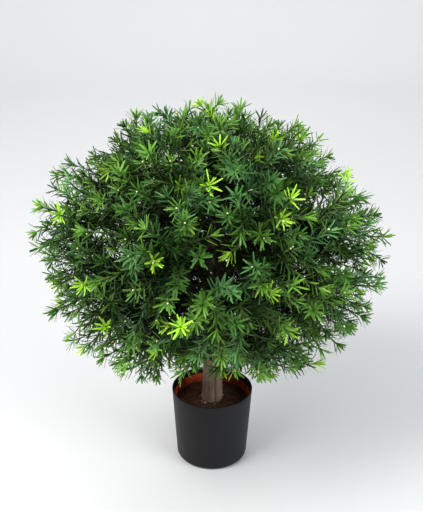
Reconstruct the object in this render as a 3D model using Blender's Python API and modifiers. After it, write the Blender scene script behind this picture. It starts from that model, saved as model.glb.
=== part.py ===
"""Potted yew ball, an artificial tree: a round crown on a wooden post in a plastic pot.

Metres, +Z up. The origin is the middle of the pot's underside, and the photographed
side faces -Y. Every bough is one tapering limb, and every mass of foliage is one stem
with side shoots, all of them three-sided twigs with needles drawn out of their faces.
"""

import math
import random

import bmesh
import bpy
from mathutils import Matrix, Quaternion, Vector

SEED = 41
JOIN_TRIES = 6
WELDS = (0.0, 0.0000001, 0.000001, 0.000004)
SEAT_GAP = 0.0003

# Pot, inner pot and fill

POT_HEIGHT = 0.1235
POT_RIM_RADIUS = 0.0650
POT_FOOT_RADIUS = 0.0570
POT_CORNER = 0.0080
POT_WALL = 0.0016
POT_FLOOR = 0.0025

INNER_DROP = 0.0095
INNER_WALL = 0.0015
INNER_FLOOR = 0.0018
INNER_SIDE_GAP = 0.0012

FILL_DROP = 0.0210
FILL_SIDE_FALL = 0.0025
FILL_SIDE_GAP = 0.0004

TURNED_STEPS = 30
CORNER_STEPS = 3

# Trunk

TRUNK_FOOT_RADIUS = 0.0180
TRUNK_TIP_RADIUS = 0.0120
TRUNK_TOP = 0.4450
TRUNK_TIP_ROUNDING = 0.0040
TRUNK_LEAN = Vector((0.0040, 0.0020))
TRUNK_SIDES = 20
TRUNK_RINGS = 6
GROOVE_SIDE = 16
GROOVE_DEPTH = 0.0012

# Crown

CROWN_CENTRE = Vector((-0.0080, 0.0, 0.3700))
CROWN_HALF_WIDTH = 0.2830
CROWN_HALF_HEIGHT = 0.2270
STEM_START = 0.1150
TRUNK_CLEARANCE = 0.0050
CELL_MARGIN = 0.0012
REACH_SPREAD = 0.04
AXIS_JITTER = 4.0

# Each tier of masses: name, number, elevation, first azimuth, height of its boughs
TIERS = (
    ("skirt", 6, -38.0, 0.0, 0.305),
    ("lower", 7, -10.0, 14.0, 0.335),
    ("upper", 7, 19.0, 40.0, 0.368),
    ("shoulder", 5, 49.0, 18.0, 0.405),
)

# Each hollow in the crown's outline: azimuth, elevation, depth as a share, width
HOLLOWS = (
    (0.0, 27.0, 0.13, 13.0),
    (180.0, 42.0, 0.12, 12.0),
    (188.0, -24.0, 0.09, 18.0),
    (270.0, -52.0, 0.22, 24.0),
)

# Boughs

BOUGH_ROOT_RADIUS = 0.0045
BOUGH_TIP_RADIUS = 0.0032
BOUGH_STRAIGHT = 0.0080
BOUGH_HANDLE = 0.0300
BOUGH_POINTS = 2

# Shoots and needles

SIDE_SHOOTS = 4
STEM_RADIUS = 0.0030
SHOOT_RADIUS = 0.0020
SHOOT_TIP_RADIUS = 0.0013
STEM_BARE = 0.0280
SHOOT_BARE = 0.0090
SHOOT_SPREAD = 19.0
SHOOT_BULGE = 0.0120
STEM_BOW = 0.0080
RING_PITCH = 0.0175
RING_TWIST = 40.0
NEEDLE_LENGTH = 0.0280
NEEDLE_LEAN = 48.0
TIP_NEEDLE_LEAN = 34.0
TIP_OVERHANG = 0.0190
NEEDLE_TRIES = (1.0, 0.85, 0.7, 0.55, 0.4)
NUB = 0.0006


BLACK_PLASTIC = (0.030, 0.030, 0.032)
TERRACOTTA = (0.33, 0.055, 0.012)
COIR = (0.030, 0.014, 0.008)
POST_WOOD = (0.19, 0.13, 0.095)
WIRE_BROWN = (0.055, 0.026, 0.014)
NEEDLE_GREENS = (
    (0.022, 0.085, 0.022),
    (0.030, 0.110, 0.028),
    (0.040, 0.135, 0.030),
)


def clear_scene():
    """Remove every object that the scene starts with."""
    for obj in list(bpy.data.objects):
        bpy.data.objects.remove(obj)


def new_collection(name):
    """A collection linked to the scene."""
    collection = bpy.data.collections.new(name)
    bpy.context.scene.collection.children.link(collection)
    return collection


def new_material(name, colour, roughness, metallic=0.0):
    """A Principled material with a plain colour."""
    material = bpy.data.materials.new(name)
    material.use_nodes = True
    shader = material.node_tree.nodes["Principled BSDF"]
    shader.inputs["Base Color"].default_value = (*colour, 1.0)
    shader.inputs["Roughness"].default_value = roughness
    shader.inputs["Metallic"].default_value = metallic
    return material


def add_object(name, data, collection, material):
    """An object of its own in the collection, with one material."""
    obj = bpy.data.objects.new(name, data)
    collection.objects.link(obj)
    data.materials.append(material)
    return obj


def direction_of(azimuth, elevation):
    """Unit vector towards an azimuth and elevation in degrees."""
    az = math.radians(azimuth)
    el = math.radians(elevation)
    return Vector((math.cos(el) * math.cos(az), math.cos(el) * math.sin(az), math.sin(el)))


def pot_radius(z):
    """Outer radius of the pot's tapering wall at a height."""
    return POT_FOOT_RADIUS + (POT_RIM_RADIUS - POT_FOOT_RADIUS) * z / POT_HEIGHT


def corner_points(radius_at, z_low, radius):
    """Profile points round a cup's lower outer corner, from its wall to its underside."""
    edge = radius_at(z_low + radius)
    points = []
    for step in range(CORNER_STEPS + 1):
        turn = math.radians(90.0 * step / CORNER_STEPS)
        x = edge - radius + radius * math.cos(turn)
        z = z_low + radius - radius * math.sin(turn)
        points.append((x, z))
    return points


def turned_piece(name, profile, collection, material):
    """A solid of revolution about Z from a closed profile that runs down its outer side."""
    mesh = bpy.data.meshes.new(name)
    edges = [(k, k + 1) for k in range(len(profile) - 1)]
    if profile[0][0] > 0.0:
        edges.append((len(profile) - 1, 0))
    mesh.from_pydata([(x, 0.0, z) for x, z in profile], edges, [])
    obj = add_object(name, mesh, collection, material)
    screw = obj.modifiers.new("Turn", 'SCREW')
    screw.axis = 'Z'
    screw.angle = 2.0 * math.pi
    screw.steps = TURNED_STEPS
    screw.render_steps = TURNED_STEPS
    screw.use_merge_vertices = True
    screw.merge_threshold = 0.00001
    screw.use_smooth_shade = True
    return obj


def make_outer_pot(collection):
    """Black outer pot: a thin tapering wall on a flat floor with a rounded corner."""
    inner_corner = POT_CORNER - POT_WALL
    profile = [(POT_RIM_RADIUS, POT_HEIGHT)]
    profile += corner_points(pot_radius, 0.0, POT_CORNER)
    profile += [(0.0, 0.0), (0.0, POT_FLOOR)]
    inside = corner_points(lambda z: pot_radius(z) - POT_WALL, POT_FLOOR, inner_corner)
    profile += inside[::-1]
    profile += [(POT_RIM_RADIUS - POT_WALL, POT_HEIGHT)]
    material = new_material("Black plastic", BLACK_PLASTIC, 0.42)
    return turned_piece("outer_pot", profile, collection, material)


def inner_pot_radius(z):
    """Outer radius of the inner pot's wall at a height."""
    return pot_radius(z) - POT_WALL - INNER_SIDE_GAP


def make_inner_pot(collection):
    """Terracotta-coloured inner pot that stands on the outer pot's floor."""
    z_low = POT_FLOOR + SEAT_GAP
    z_floor = z_low + INNER_FLOOR
    z_top = POT_HEIGHT - INNER_DROP
    profile = [(inner_pot_radius(z_top), z_top)]
    profile += corner_points(inner_pot_radius, z_low, POT_CORNER)
    profile += [(0.0, z_low), (0.0, z_floor)]
    inner_corner = POT_CORNER - INNER_WALL
    inside = corner_points(lambda z: inner_pot_radius(z) - INNER_WALL, z_floor, inner_corner)
    profile += inside[::-1]
    profile += [(inner_pot_radius(z_top) - INNER_WALL, z_top)]
    material = new_material("Terracotta plastic", TERRACOTTA, 0.5)
    return turned_piece("inner_pot", profile, collection, material)


def fill_radius(z):
    """Radius of the fill, a little inside the inner pot's wall."""
    return inner_pot_radius(z) - INNER_WALL - FILL_SIDE_GAP


def fill_top():
    """Height of the fill's flat middle, which the trunk stands on."""
    return POT_HEIGHT - FILL_DROP


def make_fill(collection):
    """Fill with a coir top: flat under the trunk, falling a little towards the wall."""
    z_low = POT_FLOOR + INNER_FLOOR + 2.0 * SEAT_GAP
    z_top = fill_top()
    z_edge = z_top - FILL_SIDE_FALL
    profile = [(0.0, z_top), (TRUNK_FOOT_RADIUS * 1.5, z_top), (fill_radius(z_edge), z_edge)]
    profile += corner_points(fill_radius, z_low, POT_CORNER)
    profile += [(0.0, z_low)]
    material = new_material("Coir", COIR, 0.95)
    return turned_piece("potting_fill", profile, collection, material)


def trunk_foot():
    """Height of the trunk's flat cut, just above the fill."""
    return fill_top() + SEAT_GAP


def trunk_share(z):
    """How far up the trunk a height lies, from 0 at its foot to 1 at its tip."""
    return (z - trunk_foot()) / (TRUNK_TOP - trunk_foot())


def trunk_radius(z):
    """The post tapers quickly above its foot and evenly after that."""
    share = min(max(trunk_share(z), 0.0), 1.0)
    return TRUNK_FOOT_RADIUS + (TRUNK_TIP_RADIUS - TRUNK_FOOT_RADIUS) * share ** 0.8


def trunk_centre(z):
    """The post's middle at a height, with its slight lean."""
    share = min(max(trunk_share(z), 0.0), 1.0)
    return Vector((TRUNK_LEAN.x * share, TRUNK_LEAN.y * share, z))


def make_trunk(collection):
    """Wooden post with its taper, its lean and the groove down its front."""
    foot = trunk_foot()
    height = TRUNK_TOP - foot
    bm = bmesh.new()
    placed = Matrix.Translation((0.0, 0.0, foot + height / 2.0))
    bmesh.ops.create_cone(bm, cap_ends=True, segments=TRUNK_SIDES, radius1=1.0, radius2=1.0,
                          depth=height, matrix=placed)
    heights = [foot + height * step / TRUNK_RINGS for step in range(1, TRUNK_RINGS)]
    for z in heights + [TRUNK_TOP - TRUNK_TIP_ROUNDING]:
        whole = bm.verts[:] + bm.edges[:] + bm.faces[:]
        bmesh.ops.bisect_plane(bm, geom=whole, plane_co=(0.0, 0.0, z), plane_no=(0.0, 0.0, 1.0))
    groove_turn = 2.0 * math.pi * GROOVE_SIDE / TRUNK_SIDES
    for vert in bm.verts:
        radius = trunk_radius(vert.co.z)
        if vert.co.z > TRUNK_TOP - SEAT_GAP:
            radius -= TRUNK_TIP_ROUNDING
        turn = math.atan2(vert.co.y, vert.co.x)
        if abs(math.remainder(turn - groove_turn, 2.0 * math.pi)) < math.pi / TRUNK_SIDES:
            radius -= GROOVE_DEPTH
        centre = trunk_centre(vert.co.z)
        vert.co = centre + Vector((math.cos(turn), math.sin(turn), 0.0)) * radius
    mesh = bpy.data.meshes.new("trunk")
    bm.to_mesh(mesh)
    bm.free()
    mesh.shade_smooth()
    mesh.set_sharp_from_angle(angle=math.radians(50.0))
    return add_object("trunk", mesh, collection, new_material("Post wood", POST_WOOD, 0.8))


class Mass:
    """One mass of foliage: its place in the crown and its bough's height on the trunk."""

    def __init__(self, name, axis, bough_height, reach):
        self.name = name
        self.axis = axis
        self.bough_height = bough_height
        self.reach = reach

    @property
    def stem_start(self):
        """Where the bough ends and the mass's stem begins."""
        if self.bough_height is None:
            return trunk_centre(TRUNK_TOP)
        return CROWN_CENTRE + self.axis * STEM_START


def plan_masses(rng):
    """The masses in tiers round the trunk, and one on the trunk's tip."""
    masses = []
    for tier, count, elevation, first, bough_height in TIERS:
        for index in range(count):
            azimuth = first + 360.0 * index / count + rng.uniform(-AXIS_JITTER, AXIS_JITTER)
            tilt = elevation + rng.uniform(-AXIS_JITTER, AXIS_JITTER)
            reach = 1.0 - rng.uniform(0.0, REACH_SPREAD)
            name = f"{tier}_{index + 1}"
            masses.append(Mass(name, direction_of(azimuth, tilt), bough_height, reach))
    masses.append(Mass("top", Vector((0.0, 0.0, 1.0)), None, 1.0))
    return masses


def crown_radius(direction):
    """The crown's outline from its centre: an ellipsoid with a few shallow hollows."""
    across = math.hypot(direction.x, direction.y) / CROWN_HALF_WIDTH
    along = direction.z / CROWN_HALF_HEIGHT
    radius = 1.0 / math.hypot(across, along)
    for azimuth, elevation, depth, width in HOLLOWS:
        away = math.degrees(direction.angle(direction_of(azimuth, elevation)))
        radius *= 1.0 - depth * math.exp(-((away / width) ** 2))
    return radius


def cell_clearance(point, mass, masses):
    """Distance from a point to the nearest wall of the mass's own cone of space."""
    offset = point - CROWN_CENTRE
    walls = [(mass.axis - other.axis).normalized() for other in masses if other is not mass]
    return min(offset.dot(wall) for wall in walls)


def in_own_space(point, mass, masses):
    """Whether a point keeps to the mass's cone, inside the outline and clear of the limbs."""
    offset = point - CROWN_CENTRE
    if offset.length < STEM_START or offset.length > crown_radius(offset.normalized()):
        return False
    beside = (point - trunk_centre(point.z)).to_2d().length
    if point.z < TRUNK_TOP and beside < trunk_radius(point.z) + TRUNK_CLEARANCE:
        return False
    return cell_clearance(point, mass, masses) > CELL_MARGIN


def bough_path(mass):
    """A bough leaves the trunk level, then bends into the line of its mass's stem."""
    end = mass.stem_start
    centre = trunk_centre(mass.bough_height)
    outward = end - centre
    outward.z = 0.0
    outward.normalize()
    root = centre + outward * (trunk_radius(mass.bough_height) + SEAT_GAP)
    bend_start = root + outward * BOUGH_STRAIGHT
    bend_end = end - mass.axis * BOUGH_STRAIGHT
    handle_a = bend_start + outward * BOUGH_HANDLE * 0.5
    handle_b = bend_end - mass.axis * BOUGH_HANDLE * 0.5
    path = [root]
    for step in range(BOUGH_POINTS + 1):
        t = step / BOUGH_POINTS
        blend = (bend_start * (1.0 - t) ** 3 + handle_a * 3.0 * t * (1.0 - t) ** 2
                 + handle_b * 3.0 * t * t * (1.0 - t) + bend_end * t ** 3)
        path.append(blend)
    path.append(end)
    return path


def make_bough(mass, collection, material):
    """One tapering limb, a beveled curve with closed ends."""
    path = bough_path(mass)
    curve = bpy.data.curves.new(f"bough_{mass.name}", 'CURVE')
    curve.dimensions = '3D'
    curve.bevel_depth = BOUGH_ROOT_RADIUS
    curve.bevel_resolution = 1
    curve.use_fill_caps = True
    spline = curve.splines.new('POLY')
    spline.points.add(len(path) - 1)
    for index, (point, place) in enumerate(zip(spline.points, path)):
        share = index / (len(path) - 1)
        point.co = (*place, 1.0)
        point.radius = 1.0 + (BOUGH_TIP_RADIUS / BOUGH_ROOT_RADIUS - 1.0) * share
    return add_object(f"bough_{mass.name}", curve, collection, material)


def ring_frame(place, tangent, radius, twist):
    """Matrix that lays a unit ring across the twig at a place."""
    turn = tangent.to_track_quat('Z', 'Y') @ Quaternion((0.0, 0.0, 1.0), twist)
    return Matrix.LocRotScale(place, turn, Vector((radius, radius, 1.0)))


class Shoot:
    """A twig from root to tip: a curve of three control points and two radii."""

    def __init__(self, root, middle, tip, radius, bare):
        self.root = root
        self.middle = middle
        self.tip = tip
        self.radius = radius
        self.bare = bare

    def at(self, t):
        """Point at a share of the way along."""
        return (self.root * (1.0 - t) ** 2 + self.middle * 2.0 * t * (1.0 - t)
                + self.tip * t * t)

    def tangent(self, t):
        """Direction of growth at a share of the way along."""
        along = (self.middle - self.root) * (1.0 - t) + (self.tip - self.middle) * t
        return along.normalized()

    @property
    def length(self):
        return (self.tip - self.root).length


def make_twig(bm, shoot, start_twist):
    """Extrude a three-sided twig ring by ring; returns each length's side faces and the cap."""
    bare = shoot.bare / shoot.length
    lengths = max(3, round((1.0 - bare) * shoot.length / RING_PITCH))
    shares = [0.0] + [bare + (1.0 - bare) * step / lengths for step in range(lengths + 1)]
    frames = []
    for index, share in enumerate(shares):
        radius = shoot.radius + (SHOOT_TIP_RADIUS - shoot.radius) * share
        twist = start_twist + math.radians(RING_TWIST) * max(index - 1, 0)
        frames.append(ring_frame(shoot.at(share), shoot.tangent(share), radius, twist))
    bmesh.ops.create_circle(bm, cap_ends=True, segments=3, radius=1.0, matrix=frames[0])
    cap = bm.faces[:][0]
    sides = []
    for before, after in zip(frames, frames[1:]):
        grown = bmesh.ops.extrude_face_region(bm, geom=[cap])
        if sides:
            bmesh.ops.delete(bm, geom=[cap], context='FACES_ONLY')
        cap = [item for item in grown["geom"] if isinstance(item, bmesh.types.BMFace)][0]
        bmesh.ops.transform(bm, matrix=after @ before.inverted(), verts=cap.verts)
        sides.append([face for edge in cap.edges for face in edge.link_faces if face is not cap])
    return shares, sides[1:], cap


def needle_tip(base, outward, tangent, lean, length, mass, masses):
    """The longest needle tip that keeps to the mass's space, or a low nub on the twig."""
    heading = tangent * math.cos(lean) + outward * math.sin(lean)
    for share in NEEDLE_TRIES:
        tip = base + heading * length * share
        if in_own_space(tip, mass, masses):
            return tip
    return base + outward * NUB


def draw_needles(bm, shoot, shares, sides, cap, mass, masses, rng):
    """Poke every face of the needled lengths and draw the new points out as needles."""
    last = len(sides) - 1
    for index, faces in enumerate(sides):
        share = (shares[index + 1] + shares[index + 2]) / 2.0
        centre = shoot.at(share)
        tangent = shoot.tangent(share)
        lean = math.radians(TIP_NEEDLE_LEAN if index == last else NEEDLE_LEAN)
        poked = bmesh.ops.poke(bm, faces=faces)
        for vert in sorted(poked["verts"], key=lambda v: (v.co.x, v.co.y, v.co.z)):
            outward = vert.co - centre
            outward -= tangent * outward.dot(tangent)
            length = NEEDLE_LENGTH * rng.uniform(0.85, 1.0)
            vert.co = needle_tip(vert.co.copy(), outward.normalized(), tangent, lean, length,
                                 mass, masses)
    top = bmesh.ops.poke(bm, faces=[cap])["verts"][0]
    top.co = needle_tip(top.co.copy(), shoot.tangent(1.0), shoot.tangent(1.0), 0.0,
                        TIP_OVERHANG, mass, masses)


def make_shoot(name, shoot, mass, masses, rng, collection):
    """One shoot with its needles, as a closed mesh object."""
    bm = bmesh.new()
    shares, sides, cap = make_twig(bm, shoot, rng.uniform(0.0, 2.0 * math.pi))
    draw_needles(bm, shoot, shares, sides, cap, mass, masses, rng)
    bmesh.ops.triangulate(bm, faces=bm.faces[:])
    bmesh.ops.recalc_face_normals(bm, faces=bm.faces[:])
    mesh = bpy.data.meshes.new(name)
    bm.to_mesh(mesh)
    bm.free()
    obj = bpy.data.objects.new(name, mesh)
    collection.objects.link(obj)
    return obj


def across(axis, turn):
    """Unit vector across an axis, at a turn round it."""
    side = axis.orthogonal().normalized()
    return Quaternion(axis, turn) @ side


def plan_stem(mass, rng):
    """The mass's stem, straight out of its bough and bowed a little towards its tip."""
    start = mass.stem_start + mass.axis * SEAT_GAP
    reach = crown_radius(mass.axis) * mass.reach - TIP_OVERHANG
    tip = CROWN_CENTRE + mass.axis * reach
    tip += across(mass.axis, rng.uniform(0.0, 2.0 * math.pi)) * STEM_BOW
    middle = start + mass.axis * (tip - start).length / 2.0
    return Shoot(start, middle, tip, STEM_RADIUS, STEM_BARE)


def plan_side_shoot(stem, mass, masses, turn, share, rng):
    """A side shoot from the stem to its own place on the crown's outline."""
    root = stem.at(share)
    sideways = across(mass.axis, turn)
    spread = math.radians(SHOOT_SPREAD) * rng.uniform(0.85, 1.1)
    reach_share = mass.reach * rng.uniform(0.93, 1.0)
    while True:
        heading = (mass.axis * math.cos(spread) + sideways * math.sin(spread)).normalized()
        tip = CROWN_CENTRE + heading * (crown_radius(heading) * reach_share - TIP_OVERHANG)
        if cell_clearance(tip, mass, masses) > NEEDLE_LENGTH * 0.4 or spread < 0.05:
            break
        spread *= 0.9
    middle = root.lerp(tip, 0.45) + sideways * SHOOT_BULGE
    return Shoot(root, middle, tip, SHOOT_RADIUS, SHOOT_BARE)


def plan_shoots(mass, masses, rng):
    """The stem and its side shoots, spread evenly round it."""
    stem = plan_stem(mass, rng)
    shoots = [stem]
    turn = rng.uniform(0.0, 2.0 * math.pi)
    for index in range(SIDE_SHOOTS):
        share = 0.12 + 0.36 * index / SIDE_SHOOTS
        shoots.append(plan_side_shoot(stem, mass, masses, turn, share, rng))
        turn += 2.0 * math.pi / SIDE_SHOOTS + math.radians(rng.uniform(-12.0, 12.0))
    return shoots


def is_closed(mesh):
    """Whether every edge of a mesh has exactly two faces, also once it is welded."""
    for distance in WELDS:
        bm = bmesh.new()
        bm.from_mesh(mesh)
        bmesh.ops.remove_doubles(bm, verts=bm.verts[:], dist=distance)
        bmesh.ops.triangulate(bm, faces=bm.faces[:])
        closed = all(len(edge.link_faces) == 2 for edge in bm.edges)
        bm.free()
        if not closed:
            return False
    return True


def join_shoots(name, shoots, mass, masses, rng, collection, solver):
    """One object for a mass: the Boolean union of its stem with its side shoots."""
    stem, *others = shoots
    joined = new_collection(f"joined_{mass.name}")
    base = make_shoot(name, stem, mass, masses, rng, collection)
    for number, shoot in enumerate(others):
        make_shoot(f"{name}_shoot_{number + 1}", shoot, mass, masses, rng, joined)
    union = base.modifiers.new("Join", 'BOOLEAN')
    union.operation = 'UNION'
    union.operand_type = 'COLLECTION'
    union.collection = joined
    union.solver = solver
    bpy.context.view_layer.update()
    depsgraph = bpy.context.evaluated_depsgraph_get()
    mesh = bpy.data.meshes.new_from_object(base.evaluated_get(depsgraph))
    base.modifiers.remove(union)
    base.data = mesh
    for obj in list(joined.objects):
        bpy.data.objects.remove(obj)
    bpy.data.collections.remove(joined)
    return base


def make_foliage(mass, masses, index, collection, material):
    """One mass of foliage; it is joined the other way, with new needles, until it is closed."""
    name = f"foliage_{mass.name}"
    shoots = plan_shoots(mass, masses, random.Random(SEED * 1000 + index))
    for attempt in range(JOIN_TRIES):
        rng = random.Random(SEED * 1000 + index * JOIN_TRIES + attempt)
        solver = 'MANIFOLD' if attempt else 'EXACT'
        base = join_shoots(name, shoots, mass, masses, rng, collection, solver)
        if is_closed(base.data):
            break
        bpy.data.objects.remove(base)
    else:
        raise RuntimeError(f"{name} doesn't join into a closed solid")
    base.data.name = name
    base.data.materials.clear()
    base.data.materials.append(material)
    return base


def make_crown(collection):
    """All boughs and masses of foliage."""
    masses = plan_masses(random.Random(SEED))
    wire = new_material("Bough brown", WIRE_BROWN, 0.7)
    greens = []
    for index, colour in enumerate(NEEDLE_GREENS):
        greens.append(new_material(f"Needle green {index + 1}", colour, 0.5))
    for index, mass in enumerate(masses):
        if mass.bough_height is not None:
            make_bough(mass, collection, wire)
        make_foliage(mass, masses, index, collection, greens[index % len(greens)])


def main():
    """Build the whole plant in its pot."""
    clear_scene()
    plant = new_collection("potted_yew_ball")
    make_outer_pot(plant)
    make_inner_pot(plant)
    make_fill(plant)
    make_trunk(plant)
    make_crown(plant)


main()
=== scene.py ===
"""Looks of the potted yew ball: needles, twigs, bark, pots, coir, light and camera.

Laid out as a Blender add-on and run as a script. Metres, +Z up, in the frame of the
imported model. The photographed side faces -Y.
"""

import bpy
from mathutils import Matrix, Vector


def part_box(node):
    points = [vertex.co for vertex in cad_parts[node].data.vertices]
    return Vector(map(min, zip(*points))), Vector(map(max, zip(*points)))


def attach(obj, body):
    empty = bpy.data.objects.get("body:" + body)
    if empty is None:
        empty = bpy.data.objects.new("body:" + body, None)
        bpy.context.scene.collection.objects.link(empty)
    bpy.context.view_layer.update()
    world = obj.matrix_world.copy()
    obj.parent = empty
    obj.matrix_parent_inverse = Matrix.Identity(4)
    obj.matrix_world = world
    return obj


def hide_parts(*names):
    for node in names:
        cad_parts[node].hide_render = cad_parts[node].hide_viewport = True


bl_info = {
    "name": "Potted Yew Ball",
    "version": (1, 0, 0),
    "blender": (4, 5, 0),
    "location": "View3D > Sidebar > Yew Ball",
    "description": "Dresses the packed yew ball with needles, bark, pots and coir",
    "category": "Add Mesh",
}

import math
import random

import bmesh
import bpy
import numpy as np
from bpy.props import FloatProperty, FloatVectorProperty, IntProperty, PointerProperty
from mathutils import Matrix, Quaternion, Vector, noise

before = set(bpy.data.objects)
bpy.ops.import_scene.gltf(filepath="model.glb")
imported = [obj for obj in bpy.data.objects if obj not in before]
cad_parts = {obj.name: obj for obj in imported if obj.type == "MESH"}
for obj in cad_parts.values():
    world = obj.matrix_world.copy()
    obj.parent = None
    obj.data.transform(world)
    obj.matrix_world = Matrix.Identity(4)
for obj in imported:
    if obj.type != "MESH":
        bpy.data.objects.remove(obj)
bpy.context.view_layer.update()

BODY = "root"
SEED = 41

# Pot, inner pot and fill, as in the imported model

POT_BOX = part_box("outer_pot")
POT_HEIGHT = POT_BOX[1][2]
POT_RIM_RADIUS = 0.0650
POT_FOOT_RADIUS = 0.0570
POT_CORNER = 0.0080
POT_WALL = 0.0016
POT_FLOOR = 0.0025
INNER_DROP = 0.0095
INNER_WALL = 0.0015
INNER_SIDE_GAP = 0.0012
FILL_DROP = 0.0210
FILL_SIDE_FALL = 0.0025

# Trunk and crown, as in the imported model

TRUNK_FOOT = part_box("trunk")[0][2]
TRUNK_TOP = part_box("trunk")[1][2]
TRUNK_FOOT_RADIUS = 0.0180
TRUNK_TIP_RADIUS = 0.0120
TRUNK_LEAN = Vector((0.0040, 0.0020))
GROOVE_TURN = math.radians(288.0)
GROOVE_DEPTH = 0.0012

CROWN_CENTRE = Vector((-0.0080, 0.0, 0.3700))
CROWN_HALF_WIDTH = 0.2830
CROWN_HALF_HEIGHT = 0.2270
STEM_START = 0.1150
TRUNK_CLEARANCE = 0.0050
SEAT_GAP = 0.0003
REACH_SPREAD = 0.04
AXIS_JITTER = 4.0

# Each tier of masses: name, number, elevation, first azimuth, height of its boughs
TIERS = (
    ("skirt", 6, -38.0, 0.0, 0.305),
    ("lower", 7, -10.0, 14.0, 0.335),
    ("upper", 7, 19.0, 40.0, 0.368),
    ("shoulder", 5, 49.0, 18.0, 0.405),
)

# Each hollow in the crown's outline: azimuth, elevation, depth as a share, width
HOLLOWS = (
    (0.0, 27.0, 0.13, 13.0),
    (180.0, 42.0, 0.12, 12.0),
    (188.0, -24.0, 0.09, 18.0),
    (270.0, -52.0, 0.22, 24.0),
)

BOUGH_ROOT_RADIUS = 0.0045
BOUGH_TIP_RADIUS = 0.0032
BOUGH_STRAIGHT = 0.0080
BOUGH_HANDLE = 0.0300

SIDE_SHOOTS = 4
STEM_RADIUS = 0.0030
SHOOT_RADIUS = 0.0020
SHOOT_TIP_RADIUS = 0.0013
STEM_BARE = 0.0280
SHOOT_BARE = 0.0090
SHOOT_SPREAD = 19.0
SHOOT_BULGE = 0.0120
STEM_BOW = 0.0080
CELL_WIDTH = 0.0112
TIP_OVERHANG = 0.0190
SHORTEST_SHOOT = 0.0300
SPUR_LENGTH = 0.0580
BOUGH_STEPS = 22


class YewPotSettings(bpy.types.PropertyGroup):
    """Colours of the pots and the fill."""

    outer: FloatVectorProperty(
        name="Outer pot", description="Colour of the black plastic pot",
        subtype='COLOR', size=3, min=0.0, max=1.0, default=(0.010, 0.010, 0.011))
    inner: FloatVectorProperty(
        name="Inner pot", description="Colour of the terracotta-coloured inner pot",
        subtype='COLOR', size=3, min=0.0, max=1.0, default=(0.43, 0.058, 0.011))
    coir: FloatVectorProperty(
        name="Coir", description="Middle colour of the loose coir on the fill",
        subtype='COLOR', size=3, min=0.0, max=1.0, default=(0.046, 0.018, 0.010))
    crumbs: IntProperty(
        name="Crumbs", description="Number of loose crumbs on the fill",
        min=0, max=4000, default=1500)
    fibres: IntProperty(
        name="Fibres", description="Number of coir fibres on the fill",
        min=0, max=2000, default=320)


class YewPostSettings(bpy.types.PropertyGroup):
    """Look of the wooden post."""

    wood: FloatVectorProperty(
        name="Wood", description="Middle colour of the post",
        subtype='COLOR', size=3, min=0.0, max=1.0, default=(0.200, 0.145, 0.103))
    relief: FloatProperty(
        name="Relief", description="Depth of the post's ridges",
        subtype='DISTANCE', unit='LENGTH', min=0.0, max=0.003, default=0.0009)


class YewCrownSettings(bpy.types.PropertyGroup):
    """Growth and needles of the crown."""

    outer_shoots: IntProperty(
        name="Outer shoots", description="Finer shoots that reach the crown's outline",
        min=0, max=1200, default=600)
    inner_shoots: IntProperty(
        name="Inner shoots", description="Finer shoots that end inside the crown",
        min=0, max=1200, default=420)
    spurs: IntProperty(
        name="Spurs", description="Short needled shoots on each bough",
        min=0, max=40, default=8)
    needle_length: FloatProperty(
        name="Needle length", description="Length of a full-grown needle",
        subtype='DISTANCE', unit='LENGTH', min=0.005, max=0.05, default=0.0205)
    needle_width: FloatProperty(
        name="Needle width", description="Width of a needle at its widest",
        subtype='DISTANCE', unit='LENGTH', min=0.0005, max=0.006, default=0.0024)
    needle_pitch: FloatProperty(
        name="Needle pitch", description="Distance along the twig from needle to needle",
        subtype='DISTANCE', unit='LENGTH', min=0.0004, max=0.01, default=0.0020)
    fresh_share: FloatProperty(
        name="Fresh tips", description="Share of the shoots that end in a light green tuft",
        subtype='FACTOR', min=0.0, max=1.0, default=0.36)
    lime_share: FloatProperty(
        name="Lime tips", description="Share of the shoots that end in a lime tuft",
        subtype='FACTOR', min=0.0, max=1.0, default=0.09)
    bead_share: FloatProperty(
        name="Beads", description="Share of the shoots that carry a cream bead",
        subtype='FACTOR', min=0.0, max=1.0, default=0.34)
    dark: FloatVectorProperty(
        name="Dark green", description="Colour of the darkest sprays",
        subtype='COLOR', size=3, min=0.0, max=1.0, default=(0.036, 0.098, 0.014))
    middle: FloatVectorProperty(
        name="Mid green", description="Colour of most sprays",
        subtype='COLOR', size=3, min=0.0, max=1.0, default=(0.074, 0.162, 0.023))
    bluish: FloatVectorProperty(
        name="Cool green", description="Colour of the cooler sprays",
        subtype='COLOR', size=3, min=0.0, max=1.0, default=(0.054, 0.134, 0.038))
    fresh: FloatVectorProperty(
        name="Fresh green", description="Colour of the lighter tips",
        subtype='COLOR', size=3, min=0.0, max=1.0, default=(0.088, 0.190, 0.026))
    lime: FloatVectorProperty(
        name="Lime", description="Colour of the fresh tips",
        subtype='COLOR', size=3, min=0.0, max=1.0, default=(0.240, 0.420, 0.034))


class YewStageSettings(bpy.types.PropertyGroup):
    """Camera and light."""

    focal_px: FloatProperty(
        name="Focal length in pixels", description="Focal length for a picture 512 pixels high",
        min=100.0, max=5000.0, default=820.0)
    key_power: FloatProperty(
        name="Key light", description="Power of the large light at the upper left",
        subtype='POWER', unit='POWER', min=0.0, max=500.0, default=76.0)
    back_power: FloatProperty(
        name="Back light", description="Power of the light that whitens the floor behind",
        subtype='POWER', unit='POWER', min=0.0, max=500.0, default=58.0)
    fill_power: FloatProperty(
        name="Fill light", description="Power of the soft light from the right",
        subtype='POWER', unit='POWER', min=0.0, max=500.0, default=46.0)


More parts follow.
